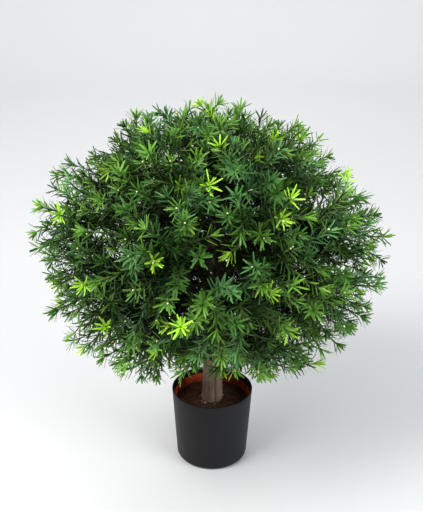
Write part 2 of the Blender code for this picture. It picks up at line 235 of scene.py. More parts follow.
class Value:
    """An output in a shader's node tree; arithmetic on it adds Math nodes."""

    def __init__(self, finish, socket):
        self.finish = finish
        self.socket = socket

    def maths(self, operation, *values):
        """A Math node on these values."""
        return self.finish.node('ShaderNodeMath', {"operation": operation}, values)

    def __add__(self, other):
        return self.maths('ADD', self, other)

    def __radd__(self, other):
        return self.maths('ADD', other, self)

    def __sub__(self, other):
        return self.maths('SUBTRACT', self, other)

    def __rsub__(self, other):
        return self.maths('SUBTRACT', other, self)

    def __mul__(self, other):
        return self.maths('MULTIPLY', self, other)

    def __rmul__(self, other):
        return self.maths('MULTIPLY', other, self)

    def __truediv__(self, other):
        return self.maths('DIVIDE', self, other)

    def __pow__(self, other):
        return self.maths('POWER', self, other)

    def clamp(self):
        """The value kept between 0 and 1."""
        return self.maths('MINIMUM', self.maths('MAXIMUM', self, 0.0), 1.0)


class Finish:
    """A Principled material and the nodes that feed it."""

    def __init__(self, name, **constants):
        self.material = bpy.data.materials.new(name)
        self.material.use_nodes = True
        self.tree = self.material.node_tree
        self.shader = self.tree.nodes["Principled BSDF"]
        for key, value in constants.items():
            self.shader.inputs[key.replace("_", " ").title()].default_value = value

    def plug(self, socket, value):
        """Link a value to a socket, or set the socket's own value."""
        if isinstance(value, Value):
            self.tree.links.new(value.socket, socket)
        elif socket.type == 'RGBA' and len(value) == 3:
            socket.default_value = (*value, 1.0)
        else:
            socket.default_value = value

    def node(self, kind, settings=None, inputs=(), output=0):
        """Add a node: its settings first, then the values or links of its sockets."""
        node = self.tree.nodes.new(kind)
        for key, setting in (settings or {}).items():
            if key == "stops":
                self.set_stops(node.color_ramp, setting)
            else:
                setattr(node, key, setting)
        pairs = inputs.items() if isinstance(inputs, dict) else enumerate(inputs)
        for key, value in pairs:
            self.plug(node.inputs[key], value)
        return Value(self, node.outputs[output])

    def set_stops(self, ramp, stops):
        """Give a colour ramp its stops, each a place and a colour."""
        while len(ramp.elements) > 1:
            ramp.elements.remove(ramp.elements[-1])
        for index, (place, colour) in enumerate(stops):
            element = ramp.elements[0] if index == 0 else ramp.elements.new(place)
            element.position = place
            element.color = (*colour, 1.0)

    def place(self, scale=(1.0, 1.0, 1.0)):
        """Object coordinates, stretched by a scale."""
        where = self.node('ShaderNodeTexCoord', output=3)
        return self.node('ShaderNodeMapping', inputs={"Vector": where, "Scale": scale})

    def noise(self, place, scale, detail=3.0, roughness=0.55):
        """Noise from 0 to 1."""
        values = {"Vector": place, "Scale": scale, "Detail": detail, "Roughness": roughness}
        return self.node('ShaderNodeTexNoise', inputs=values)

    def ramp(self, factor, stops):
        """A colour ramp of a value."""
        return self.node('ShaderNodeValToRGB', {"stops": stops}, {"Fac": factor})

    def mix(self, factor, first, second):
        """A mix of two colours."""
        values = {0: factor, 6: first, 7: second}
        return self.node('ShaderNodeMix', {"data_type": 'RGBA'}, values, output=2)

    def spread(self, colour, factor, low, high):
        """A colour that a factor takes from darker to lighter."""
        dark = [channel * low for channel in colour]
        light = [min(channel * high, 1.0) for channel in colour]
        return self.mix(factor, dark, light)

    def feed(self, **links):
        """Link values to the shader's sockets."""
        for key, value in links.items():
            self.plug(self.shader.inputs[key.replace("_", " ").title()], value)

    def bump(self, height, strength, distance):
        """Feed a height to the shader's normal."""
        values = {"Strength": strength, "Distance": distance, "Height": height}
        self.feed(normal=self.node('ShaderNodeBump', inputs=values))


def outer_share(finish):
    """0 deep inside the crown, 1 at its outline: the needles' colour is darkened inside the crown
    as painted shade.
    """
    where = finish.node('ShaderNodeTexCoord', output=3)
    inner = 1.0 / CROWN_HALF_WIDTH
    high = 1.0 / CROWN_HALF_HEIGHT
    shift = (-CROWN_CENTRE.x * inner, -CROWN_CENTRE.y * inner, -CROWN_CENTRE.z * high)
    values = {"Vector": where, "Location": shift, "Scale": (inner, inner, high)}
    scaled = finish.node('ShaderNodeMapping', inputs=values)
    length = finish.node('ShaderNodeVectorMath', {"operation": 'LENGTH'}, (scaled,), output=1)
    return ((length - 0.62) / 0.34).clamp()


def needle_finish(name, colour, roughness=0.42):
    """Moulded needle: satin, a little lighter and darker from place to place, and darker towards
    the crown's inside as painted shade.
    """
    finish = Finish(name, roughness=roughness)
    finish.shader.inputs["Specular IOR Level"].default_value = 0.30
    coarse = finish.noise(finish.place(), 38.0, 2.0)
    fine = finish.noise(finish.place(), 420.0, 2.0)
    factor = (coarse * 0.7 + fine * 0.5 - 0.1).clamp()
    # Painted shade: the place in the crown mixes from the darker spread deep inside to the
    # lighter spread at the outline.
    outer = outer_share(finish)
    outline_colour = finish.spread(colour, factor, 1.05, 2.30)
    # The darker spread is painted shade for the inside of the crown.
    painted_shade_colour = finish.spread(colour, factor, 0.14, 0.36)
    finish.feed(base_color=finish.mix(outer, painted_shade_colour, outline_colour),
                roughness=fine * 0.25 + (roughness - 0.12))
    return finish.material


def twig_finish():
    """Thin plastic-covered twigs, olive with brown patches."""
    finish = Finish("Twig")
    patch = finish.noise(finish.place(), 60.0, 4.0)
    colour = finish.ramp(patch, ((0.30, (0.030, 0.022, 0.010)), (0.62, (0.035, 0.070, 0.016))))
    finish.feed(base_color=colour, roughness=patch * 0.3 + 0.45)
    finish.bump(finish.noise(finish.place(), 900.0), 0.4, 0.0004)
    return finish.material


def bough_finish():
    """Brown boughs with scaly streaks along them."""
    finish = Finish("Bough bark")
    streak = finish.noise(finish.place(), 240.0, 5.0)
    colour = finish.ramp(streak, ((0.25, (0.020, 0.009, 0.006)), (0.5, (0.062, 0.024, 0.014)),
                                  (0.8, (0.115, 0.058, 0.036))))
    finish.feed(base_color=colour, roughness=streak * 0.3 + 0.55)
    finish.bump(streak, 0.6, 0.0008)
    return finish.material


def groove_shade_mask(finish):
    """1 along the post's groove, falling to 0 a few millimetres away: where shade in the groove
    is painted.
    """
    where = finish.node('ShaderNodeTexCoord', output=3)
    x = finish.node('ShaderNodeSeparateXYZ', inputs={"Vector": where}, output=0)
    y = finish.node('ShaderNodeSeparateXYZ', inputs={"Vector": where}, output=1)
    along = x * math.cos(GROOVE_TURN) + y * math.sin(GROOVE_TURN)
    beside = y * math.cos(GROOVE_TURN) - x * math.sin(GROOVE_TURN)
    wander = finish.noise(finish.place((1.0, 1.0, 0.6)), 45.0, 3.0) * 0.006 - 0.003
    off = (beside + wander).maths('ABSOLUTE', beside + wander)
    facing = along.maths('GREATER_THAN', along, 0.0)
    return (1.0 - off / 0.0030).clamp() * facing


def post_finish(wood):
    """Dry post: long pale and dark streaks, a pinkish cast and painted shade along the groove."""
    finish = Finish("Post wood")
    streak = finish.noise(finish.place((1.0, 1.0, 0.16)), 300.0, 7.0, 0.75)
    patch = finish.noise(finish.place((1.0, 1.0, 0.55)), 55.0, 5.0, 0.65)
    speck = finish.noise(finish.place(), 900.0, 3.0)
    factor = (streak * 0.80 + patch * 0.95 + speck * 0.25 - 0.50).clamp()
    colour = finish.ramp(factor, (
        (0.18, tuple(channel * 0.34 for channel in wood)),
        (0.46, wood),
        (0.68, (wood[0] * 1.35, wood[1] * 1.36, wood[2] * 1.40)),
        (0.90, (wood[0] * 1.85, wood[1] * 1.95, wood[2] * 2.10))))
    # Painted shade: the wood's colour darkens along the groove's recess.
    groove = groove_shade_mask(finish)
    dark = tuple(channel * 0.24 for channel in wood)
    finish.feed(base_color=finish.mix(groove * 0.62, colour, dark),
                roughness=0.95 - factor * 0.25)
    finish.bump(factor - groove * 0.5, 0.55, 0.0012)
    return finish.material


def black_plastic_finish(colour):
    """Satin black plastic with faint flow marks and a dusting of scuffs."""
    finish = Finish("Black plastic")
    finish.shader.inputs["Specular IOR Level"].default_value = 0.32
    flow = finish.noise(finish.place((1.0, 1.0, 0.25)), 30.0, 4.0)
    scuff = finish.noise(finish.place(), 700.0, 2.0)
    finish.feed(base_color=finish.spread(colour, flow, 0.85, 1.25),
                roughness=flow * 0.14 + scuff * 0.10 + 0.36)
    finish.bump(scuff, 0.10, 0.0002)
    return finish.material


def terracotta_finish(colour):
    """Inner pot: matt orange-red plastic, dirtied by the coir in patches."""
    finish = Finish("Terracotta plastic")
    patch = finish.noise(finish.place(), 75.0, 5.0)
    low = tuple(channel * 0.30 for channel in colour)
    colours = finish.ramp(patch, ((0.36, low), (0.56, colour), (0.85, (0.46, 0.085, 0.020))))
    finish.feed(base_color=colours, roughness=patch * 0.25 + 0.42)
    finish.bump(finish.noise(finish.place(), 600.0), 0.2, 0.0003)
    return finish.material


def coir_finish(name, colour, lift):
    """Loose coir: dark brown with lighter specks."""
    finish = Finish(name)
    speck = finish.noise(finish.place(), 620.0, 5.0, 0.7)
    patch = finish.noise(finish.place(), 70.0, 3.0)
    factor = (speck * 0.85 + patch * 0.5 - 0.2).clamp()
    finish.feed(base_color=finish.spread(colour, factor, 0.25, lift),
                roughness=1.0 - factor * 0.15)
    finish.bump(speck, 0.9, 0.0015)
    return finish.material


def plain_finish(name, colour, roughness, scale, low, high):
    """A small piece's finish: one colour with a little mottling."""
    finish = Finish(name)
    mottle = finish.noise(finish.place(), scale, 3.0)
    finish.feed(base_color=finish.spread(colour, mottle, low, high),
                roughness=mottle * 0.2 + roughness)
    return finish.material


def floor_finish():
    """Plain pale studio floor."""
    finish = Finish("Studio floor")
    cloud = finish.noise(finish.place(), 1.2, 2.0)
    finish.feed(base_color=finish.spread((0.545, 0.545, 0.55), cloud, 0.985, 1.0),
                roughness=cloud * 0.1 + 0.7)
    return finish.material


def direction_of(azimuth, elevation):
    """Unit vector towards an azimuth and elevation in degrees."""
    az = math.radians(azimuth)
    el = math.radians(elevation)
    return Vector((math.cos(el) * math.cos(az), math.cos(el) * math.sin(az), math.sin(el)))


def trunk_share(z):
    """How far up the trunk a height lies, from 0 at its foot to 1 at its tip."""
    return min(max((z - TRUNK_FOOT) / (TRUNK_TOP - TRUNK_FOOT), 0.0), 1.0)


def trunk_radius(z):
    """The post tapers quickly above its foot and evenly after that."""
    return TRUNK_FOOT_RADIUS + (TRUNK_TIP_RADIUS - TRUNK_FOOT_RADIUS) * trunk_share(z) ** 0.8


def trunk_centre(z):
    """The post's middle at a height, with its slight lean."""
    share = trunk_share(z)
    return Vector((TRUNK_LEAN.x * share, TRUNK_LEAN.y * share, z))


class Mass:
    """One mass of foliage: its place in the crown and its bough's height on the trunk."""

    def __init__(self, name, axis, bough_height, reach):
        self.name = name
        self.axis = axis
        self.bough_height = bough_height
        self.reach = reach

    @property
    def stem_start(self):
        """Where the bough ends and the mass's stem begins."""
        if self.bough_height is None:
            return trunk_centre(TRUNK_TOP)
        return CROWN_CENTRE + self.axis * STEM_START


def plan_masses(rng):
    """The masses in tiers round the trunk, and one on the trunk's tip."""
    masses = []
    for tier, count, elevation, first, bough_height in TIERS:
        for index in range(count):
            azimuth = first + 360.0 * index / count + rng.uniform(-AXIS_JITTER, AXIS_JITTER)
            tilt = elevation + rng.uniform(-AXIS_JITTER, AXIS_JITTER)
            reach = 1.0 - rng.uniform(0.0, REACH_SPREAD)
            name = f"{tier}_{index + 1}"
            masses.append(Mass(name, direction_of(azimuth, tilt), bough_height, reach))
    masses.append(Mass("top", Vector((0.0, 0.0, 1.0)), None, 1.0))
    return masses


def crown_radius(direction):
    """The crown's outline from its centre: an ellipsoid with a few shallow hollows."""
    across_share = math.hypot(direction.x, direction.y) / CROWN_HALF_WIDTH
    along_share = direction.z / CROWN_HALF_HEIGHT
    radius = 1.0 / math.hypot(across_share, along_share)
    for azimuth, elevation, depth, width in HOLLOWS:
        away = math.degrees(direction.angle(direction_of(azimuth, elevation)))
        radius *= 1.0 - depth * math.exp(-((away / width) ** 2))
    return radius


def cell_clearance(point, mass, masses):
    """Distance from a point to the nearest wall of the mass's own cone of space."""
    offset = point - CROWN_CENTRE
    walls = [(mass.axis - other.axis).normalized() for other in masses if other is not mass]
    return min(offset.dot(wall) for wall in walls)


def bough_path(mass, steps):
    """A bough leaves the trunk level, then bends into the line of its mass's stem."""
    end = mass.stem_start
    centre = trunk_centre(mass.bough_height)
    outward = end - centre
    outward.z = 0.0
    outward.normalize()
    root = centre + outward * trunk_radius(mass.bough_height) * 0.8
    bend_start = centre + outward * (trunk_radius(mass.bough_height) + BOUGH_STRAIGHT)
    bend_end = end - mass.axis * BOUGH_STRAIGHT
    handle_a = bend_start + outward * BOUGH_HANDLE * 0.5
    handle_b = bend_end - mass.axis * BOUGH_HANDLE * 0.5
    path = [root]
    for step in range(steps + 1):
        t = step / steps
        path.append(bend_start * (1.0 - t) ** 3 + handle_a * 3.0 * t * (1.0 - t) ** 2
                    + handle_b * 3.0 * t * t * (1.0 - t) + bend_end * t ** 3)
    path.append(end + mass.axis * SEAT_GAP)
    return path


class Shoot:
    """A twig from root to tip: a curve of three control points and two radii."""

    def __init__(self, root, middle, tip, radius, bare):
        self.root = root
        self.middle = middle
        self.tip = tip
        self.radius = radius
        self.bare = bare

    def at(self, t):
        """Point at a share of the way along."""
        return (self.root * (1.0 - t) ** 2 + self.middle * 2.0 * t * (1.0 - t)
                + self.tip * t * t)

    def tangent(self, t):
        """Direction of growth at a share of the way along."""
        along = (self.middle - self.root) * (1.0 - t) + (self.tip - self.middle) * t
        return along.normalized()

    @property
    def length(self):
        return (self.tip - self.root).length


def across(axis, turn):
    """Unit vector across an axis, at a turn round it."""
    side = axis.orthogonal().normalized()
    return Quaternion(axis, turn) @ side


def plan_stem(mass, rng):
    """The mass's stem, straight out of its bough and bowed a little towards its tip."""
    start = mass.stem_start + mass.axis * SEAT_GAP
    reach = crown_radius(mass.axis) * mass.reach - TIP_OVERHANG
    tip = CROWN_CENTRE + mass.axis * reach
    tip += across(mass.axis, rng.uniform(0.0, 2.0 * math.pi)) * STEM_BOW
    middle = start + mass.axis * (tip - start).length / 2.0
    return Shoot(start, middle, tip, STEM_RADIUS, STEM_BARE)


def plan_side_shoot(stem, mass, masses, turn, share, rng):
    """A side shoot from the stem to its own place on the crown's outline."""
    root = stem.at(share)
    sideways = across(mass.axis, turn)
    spread = math.radians(SHOOT_SPREAD) * rng.uniform(0.85, 1.1)
    reach_share = mass.reach * rng.uniform(0.93, 1.0)
    while True:
        heading = (mass.axis * math.cos(spread) + sideways * math.sin(spread)).normalized()
        tip = CROWN_CENTRE + heading * (crown_radius(heading) * reach_share - TIP_OVERHANG)
        if cell_clearance(tip, mass, masses) > CELL_WIDTH or spread < 0.05:
            break
        spread *= 0.9
    middle = root.lerp(tip, 0.45) + sideways * SHOOT_BULGE
    return Shoot(root, middle, tip, SHOOT_RADIUS, SHOOT_BARE)


def plan_shoots(mass, masses, rng):
    """The stem and its side shoots, spread evenly round it."""
    stem = plan_stem(mass, rng)
    shoots = [stem]
    turn = rng.uniform(0.0, 2.0 * math.pi)
    for index in range(SIDE_SHOOTS):
        share = 0.12 + 0.36 * index / SIDE_SHOOTS
        shoots.append(plan_side_shoot(stem, mass, masses, turn, share, rng))
        turn += 2.0 * math.pi / SIDE_SHOOTS + math.radians(rng.uniform(-12.0, 12.0))
    return shoots


def even_directions(count):
    """Unit vectors spread evenly over a sphere, along a spiral."""
    golden = math.pi * (3.0 - math.sqrt(5.0))
    directions = []
    for index in range(count):
        z = 1.0 - (2.0 * index + 1.0) / count
        level = math.sqrt(1.0 - z * z)
        directions.append(Vector((level * math.cos(golden * index),
                                  level * math.sin(golden * index), z)))
    return directions


def fine_shoot(heading, reach_share, mass, own, rng):
    """A finer shoot towards a heading, from the nearest of the mass's own shoots."""
    reach = crown_radius(heading) * mass.reach * reach_share - TIP_OVERHANG
    tip = CROWN_CENTRE + heading * reach
    parent = min(own, key=lambda shoot: (shoot.tip - tip).length)
    root = parent.at(rng.uniform(0.16, 0.50) * reach_share)
    bulge = across(heading, rng.uniform(0.0, 2.0 * math.pi)) * rng.uniform(0.008, 0.044)
    middle = root.lerp(tip, 0.42) + (tip - parent.tip) * 0.16 + bulge
    return Shoot(root, middle, tip, SHOOT_RADIUS * 0.8, SHOOT_BARE * 0.6)


def clear_of_trunk(shoot):
    """Whether a shoot's tip keeps away from the post."""
    beside = (shoot.tip - trunk_centre(shoot.tip.z)).to_2d().length
    return beside > 0.040 or shoot.tip.z > TRUNK_TOP + 0.02


def plan_spurs(mass, count, rng):
    """Short shoots on a bough, which close the inside of the crown."""
    spurs = []
    path = bough_path(mass, BOUGH_STEPS)
    for _ in range(count):
        index = rng.randint(len(path) // 3, len(path) - 2)
        along = (path[index + 1] - path[index]).normalized()
        sideways = across(along, rng.uniform(0.0, 2.0 * math.pi))
        tip = path[index] + (along * rng.uniform(0.2, 1.0) + sideways).normalized() * SPUR_LENGTH
        middle = path[index].lerp(tip, 0.5) + sideways * 0.006
        spurs.append(Shoot(path[index], middle, tip, SHOOT_RADIUS * 0.7, SHOOT_BARE * 0.4))
    return spurs


def grow_crown(settings):
    """Every shoot of the crown: the growth rule's own and the finer ones on them."""
    masses = plan_masses(random.Random(SEED))
    own = {}
    for index, mass in enumerate(masses):
        own[mass.name] = plan_shoots(mass, masses, random.Random(SEED * 1000 + index))
    shoots = [shoot for group in own.values() for shoot in group]
    rng = random.Random(SEED * 2000)
    layers = ((settings.outer_shoots, 0.85, 1.03), (settings.inner_shoots, 0.50, 0.82))
    for count, least, most in layers:
        for heading in even_directions(count):
            jitter = Vector([rng.uniform(-0.045, 0.045) for _ in range(3)])
            heading = (heading + jitter).normalized()
            mass = max(masses, key=lambda candidate: candidate.axis.dot(heading))
            share = least + (most - least) * rng.random() ** 1.4
            shoot = fine_shoot(heading, share, mass, own[mass.name], rng)
            if clear_of_trunk(shoot) and shoot.length > SHORTEST_SHOOT:
                shoots.append(shoot)
    for mass in masses:
        if mass.bough_height is not None:
            shoots += [spur for spur in plan_spurs(mass, settings.spurs, rng)
                       if clear_of_trunk(spur)]
    return masses, shoots


def mesh_from_arrays(name, verts, quads, smooth=True):
    """A mesh from an array of points and an array of four-cornered faces."""
    mesh = bpy.data.meshes.new(name)
    mesh.vertices.add(len(verts))
    mesh.vertices.foreach_set("co", np.asarray(verts, dtype=np.float32).ravel())
    mesh.loops.add(quads.size)
    mesh.loops.foreach_set("vertex_index", quads.astype(np.int32).ravel())
    mesh.polygons.add(len(quads))
    corners = quads.shape[1]
    starts = np.arange(0, quads.size, corners, dtype=np.int32)
    mesh.polygons.foreach_set("loop_start", starts)
    mesh.polygons.foreach_set("use_smooth", np.full(len(quads), smooth))
    mesh.update(calc_edges=True)
    mesh.validate()
    return mesh


def add_piece(name, mesh, material, slot, *replaced):
    """A piece of the object, riding on its one body."""
    obj = bpy.data.objects.new(name, mesh)
    bpy.context.scene.collection.objects.link(obj)
    mesh.materials.append(material)
    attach(obj, BODY)
    if replaced:
        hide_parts(*replaced)
    return obj


def unit(vectors):
    """Each row scaled to length 1."""
    return vectors / np.linalg.norm(vectors, axis=1, keepdims=True)


NEEDLES_A_PIECE = 12000
NEEDLE_STATIONS = ((0.0, 0.42), (0.30, 1.0), (0.72, 0.94), (0.93, 0.72), (1.0, 0.34))


def needle_mesh(name, rows):
    """All needles of one kind: folded blades of four cross-sections, as one mesh.

    Each row holds a needle's base, heading, upper side, length, width and curl.
    """
    rows = np.asarray(rows, dtype=np.float64)
    base, heading, upper = rows[:, 0:3], unit(rows[:, 3:6]), rows[:, 6:9]
    length, width, curl = rows[:, 9:10], rows[:, 10:11], rows[:, 11:12]
    upper = unit(upper - heading * np.sum(upper * heading, axis=1, keepdims=True))
    side = np.cross(heading, upper)
    sections = []
    for along, wide in NEEDLE_STATIONS:
        centre = base + heading * length * along + upper * length * curl * along * along
        half = side * width * wide / 2.0
        sections += [centre - half, centre - upper * width * wide * 0.16, centre + half]
    verts = np.stack(sections, axis=1).reshape(-1, 3)
    pattern = []
    for station in range(len(NEEDLE_STATIONS) - 1):
        left, middle, right = (3 * station + k for k in range(3))
        pattern.append((left, middle, middle + 3, left + 3))
        pattern.append((middle, right, right + 3, middle + 3))
    pattern = np.asarray(pattern)
    first = np.arange(len(rows))[:, None, None] * 3 * len(NEEDLE_STATIONS)
    quads = (pattern[None] + first).reshape(-1, 4)
    return mesh_from_arrays(name, verts, quads)


def tube_rows(path, radii, sides):
    """Rings of points round a path, and the quads between them."""
    rings = []
    for index, (place, radius) in enumerate(zip(path, radii)):
        before = path[max(index - 1, 0)]
        after = path[min(index + 1, len(path) - 1)]
        turn = (after - before).to_track_quat('Z', 'Y')
        for side in range(sides):
            angle = 2.0 * math.pi * side / sides
            offset = turn @ Vector((math.cos(angle), math.sin(angle), 0.0))
            rings.append(place + offset * radius)
    quads = []
    for index in range(len(path) - 1):
        for side in range(sides):
            follow = (side + 1) % sides
            low = index * sides
            quads.append((low + side, low + follow, low + sides + follow, low + sides + side))
    return rings, quads


def join_tubes(name, tubes, sides):
    """One mesh of many tubes, each with the radii given for it."""
    verts, quads = [], []
    for path, radii in tubes:
        rings, faces = tube_rows(path, radii, sides)
        first = len(verts)
        verts += [tuple(point) for point in rings]
        quads += [tuple(first + corner for corner in face) for face in faces]
    return mesh_from_arrays(name, np.array(verts), np.array(quads))


def shoot_needles(shoot, settings, rng, fresh):
    """Rows for one shoot's needles: those along the twig and the tuft at its tip."""
    body, tuft = [], []
    bare = shoot.bare / shoot.length
    count = int((1.0 - bare) * shoot.length / settings.needle_pitch)
    turn = rng.uniform(0.0, 2.0 * math.pi)
    tuft_size = rng.randint(7, 11)
    opening = rng.uniform(42.0, 66.0)
    fullness = rng.uniform(0.82, 1.04)
    for index in range(count + tuft_size):
        tip_rank = index - count
        share = bare + (1.0 - bare) * min(index / count, 1.0)
        tangent = shoot.tangent(share)
        turn += math.radians(137.5) + rng.uniform(-0.25, 0.25)
        outward = across(tangent, turn)
        if tip_rank < 0:
            lean = math.radians(rng.uniform(42.0, 58.0))
            length = settings.needle_length * rng.uniform(0.78, 1.0)
        else:
            spread = opening - (opening - 16.0) * tip_rank / tuft_size
            lean = math.radians(spread + rng.uniform(-7.0, 7.0))
            length = settings.needle_length * fullness * (1.0 - 0.36 * tip_rank / tuft_size)
        heading = tangent * math.cos(lean) + outward * math.sin(lean)
        radius = shoot.radius + (SHOOT_TIP_RADIUS - shoot.radius) * share
        base = shoot.at(share) + outward * radius * 0.55
        width = settings.needle_width * rng.uniform(0.85, 1.12)
        curl = rng.uniform(-0.16, 0.05)
        row = (*base, *heading, *tangent, length, width, curl)
        if fresh and index > count * (1.0 - 0.010 / shoot.length):
            tuft.append(row)
        else:
            body.append(row)
    return body, tuft


def bead_mesh(name, places, rng):
    """Cream beads: small egg shapes at the shoots' tips."""
    bm = bmesh.new()
    for place, axis in places:
        size = rng.uniform(0.0010, 0.0015)
        turn = axis.to_track_quat('Z', 'Y')
        matrix = Matrix.LocRotScale(place, turn, Vector((size, size, size * 1.35)))
        bmesh.ops.create_uvsphere(bm, u_segments=8, v_segments=6, radius=1.0, matrix=matrix)
    mesh = bpy.data.meshes.new(name)
    bm.to_mesh(mesh)
    bm.free()
    mesh.shade_smooth()
    return mesh


def lathe(profile, steps):
    """Points and quads of a profile turned about Z."""
    verts, quads = [], []
    for radius, z in profile:
        for step in range(steps):
            angle = 2.0 * math.pi * step / steps
            verts.append((radius * math.cos(angle), radius * math.sin(angle), z))
    for ring in range(len(profile) - 1):
        for step in range(steps):
            follow = (step + 1) % steps
            low = ring * steps
            quads.append((low + follow, low + step, low + steps + step, low + steps + follow))
    return verts, quads


def arc(centre_x, centre_z, radius, start, end, steps):
    """Profile points round an arc, by angles in degrees from +X."""
    points = []
    for step in range(steps + 1):
        angle = math.radians(start + (end - start) * step / steps)
        points.append((centre_x + radius * math.cos(angle), centre_z + radius * math.sin(angle)))
    return points


def pot_radius(z):
    """Outer radius of the pot's tapering wall at a height."""
    return POT_FOOT_RADIUS + (POT_RIM_RADIUS - POT_FOOT_RADIUS) * z / POT_HEIGHT


def cup_profile(radius_at, z_low, z_top, wall, floor, corner):
    """Closed wall profile of a cup with a rounded rim and rounded corners."""
    lip = wall / 2.0
    outer = radius_at(z_low + corner)
    inner = radius_at(z_low + floor + corner - wall) - wall
    middle = radius_at(z_top) - lip
    profile = [(0.0002, z_low + 0.0006), (outer - corner - 0.006, z_low + 0.0006)]
    profile += [(outer - corner - 0.004, z_low)]
    profile += arc(outer - corner, z_low + corner, corner, -90.0, 0.0, 8)
    for step in range(1, 12):
        z = z_low + corner + (z_top - lip - z_low - corner) * step / 12.0
        profile.append((radius_at(z), z))
    profile += arc(middle, z_top - lip, lip, 0.0, 180.0, 8)
    for step in range(1, 12):
        z = z_top - lip + (z_low + floor + corner - z_top + lip) * step / 12.0
        profile.append((radius_at(z) - wall, z))
    small = corner - wall
    profile += arc(inner - small, z_low + floor + small, small, 0.0, -90.0, 6)
    profile.append((0.0002, z_low + floor))
    return profile[::-1]


def turned_mesh(name, profile, steps):
    """A smooth mesh of a profile turned about Z."""
    verts, quads = lathe(profile, steps)
    return mesh_from_arrays(name, np.array(verts), np.array(quads))


def inner_pot_radius(z):
    """Outer radius of the inner pot's wall at a height."""
    return pot_radius(z) - POT_WALL - INNER_SIDE_GAP


def fill_height(x, y):
    """Height of the loose coir: it falls to the wall and is lumpy all over."""
    edge = inner_pot_radius(POT_HEIGHT - FILL_DROP) - INNER_WALL
    away = math.hypot(x, y) / edge
    z = POT_HEIGHT - FILL_DROP - FILL_SIDE_FALL * max(away - 0.42, 0.0) / 0.58
    coarse = noise.noise(Vector((x, y, 0.3)) * 70.0) * 0.0011
    fine = noise.noise(Vector((x, y, 0.7)) * 330.0) * 0.0006
    return z + coarse + fine - 0.0006


class YEW_OT_outer_pot(bpy.types.Operator):
    """Add the black outer pot with its rounded rim and foot"""

    bl_idname = "yew.outer_pot"
    bl_label = "Outer Pot"

    def execute(self, context):
        colours = context.scene.yew_pot
        profile = cup_profile(pot_radius, 0.0, POT_HEIGHT, POT_WALL, POT_FLOOR, POT_CORNER)
        mesh = turned_mesh("outer_pot_shell", profile, 120)
        material = black_plastic_finish(tuple(colours.outer))
        add_piece("outer_pot_shell", mesh, material, "outer_pot", "outer_pot")
        return {'FINISHED'}


class YEW_OT_inner_pot(bpy.types.Operator):
    """Add the terracotta-coloured inner pot"""

    bl_idname = "yew.inner_pot"
    bl_label = "Inner Pot"

    def execute(self, context):
        colours = context.scene.yew_pot
        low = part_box("inner_pot")[0][2]
        top = POT_HEIGHT - INNER_DROP
        profile = cup_profile(inner_pot_radius, low, top, INNER_WALL, 0.0018, POT_CORNER)
        mesh = turned_mesh("inner_pot_shell", profile, 120)
        material = terracotta_finish(tuple(colours.inner))
        add_piece("inner_pot_shell", mesh, material, "inner_pot", "inner_pot")
        return {'FINISHED'}


def fill_mesh():
    """The fill: a lumpy top of rings over a plain turned body."""
    top = POT_HEIGHT - FILL_DROP
    edge = inner_pot_radius(top) - INNER_WALL - 0.0002
    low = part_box("potting_fill")[0][2]
    rings, steps = 46, 150
    profile = [(edge * step / rings + 0.0002, top) for step in range(rings)]
    profile += [(edge, top), (edge - 0.003, top - 0.03), (edge - 0.012, low), (0.0002, low)]
    verts, quads = lathe(profile, steps)
    shaped = []
    for x, y, z in verts:
        shaped.append((x, y, fill_height(x, y) if z > top - 0.001 else z))
    return mesh_from_arrays("coir_bed", np.array(shaped), np.array(quads))


def crumb_mesh(count, rng):
    """Loose crumbs of coir on the bed, as joined lumps."""
    bm = bmesh.new()
    edge = inner_pot_radius(POT_HEIGHT - FILL_DROP) - INNER_WALL - 0.003
    for _ in range(count):
        away = edge * math.sqrt(rng.uniform(0.09, 1.0))
        angle = rng.uniform(0.0, 2.0 * math.pi)
        x, y = away * math.cos(angle), away * math.sin(angle)
        size = rng.uniform(0.0004, 0.0013)
        turn = Quaternion((rng.random(), rng.random(), rng.random()), rng.uniform(0.0, 6.0))
        scale = Vector((size * rng.uniform(0.8, 2.2), size, size * rng.uniform(0.5, 0.9)))
        matrix = Matrix.LocRotScale(Vector((x, y, fill_height(x, y) + size * 0.3)), turn, scale)
        bmesh.ops.create_icosphere(bm, subdivisions=1, radius=1.0, matrix=matrix)
    mesh = bpy.data.meshes.new("coir_crumbs")
    bm.to_mesh(mesh)
    bm.free()
    return mesh


def fibre_tubes(count, rng):
    """Short bent coir fibres lying on the bed."""
    tubes = []
    edge = inner_pot_radius(POT_HEIGHT - FILL_DROP) - INNER_WALL - 0.006
    for _ in range(count):
        away = edge * math.sqrt(rng.uniform(0.12, 1.0))
        angle = rng.uniform(0.0, 2.0 * math.pi)
        x, y = away * math.cos(angle), away * math.sin(angle)
        heading = rng.uniform(0.0, 2.0 * math.pi)
        bend = rng.uniform(-260.0, 260.0)
        length = rng.uniform(0.004, 0.012)
        path = []
        for step in range(6):
            if math.hypot(x, y) > edge + 0.004 or math.hypot(x, y) < TRUNK_FOOT_RADIUS + 0.001:
                break
            lift = 0.0007 + 0.0012 * math.sin(math.pi * step / 5.0)
            path.append(Vector((x, y, fill_height(x, y) + lift)))
            x += math.cos(heading) * length / 5.0
            y += math.sin(heading) * length / 5.0
            heading += bend * length / 5.0
        if len(path) > 2:
            tubes.append((path, [0.00014] * len(path)))
    return tubes


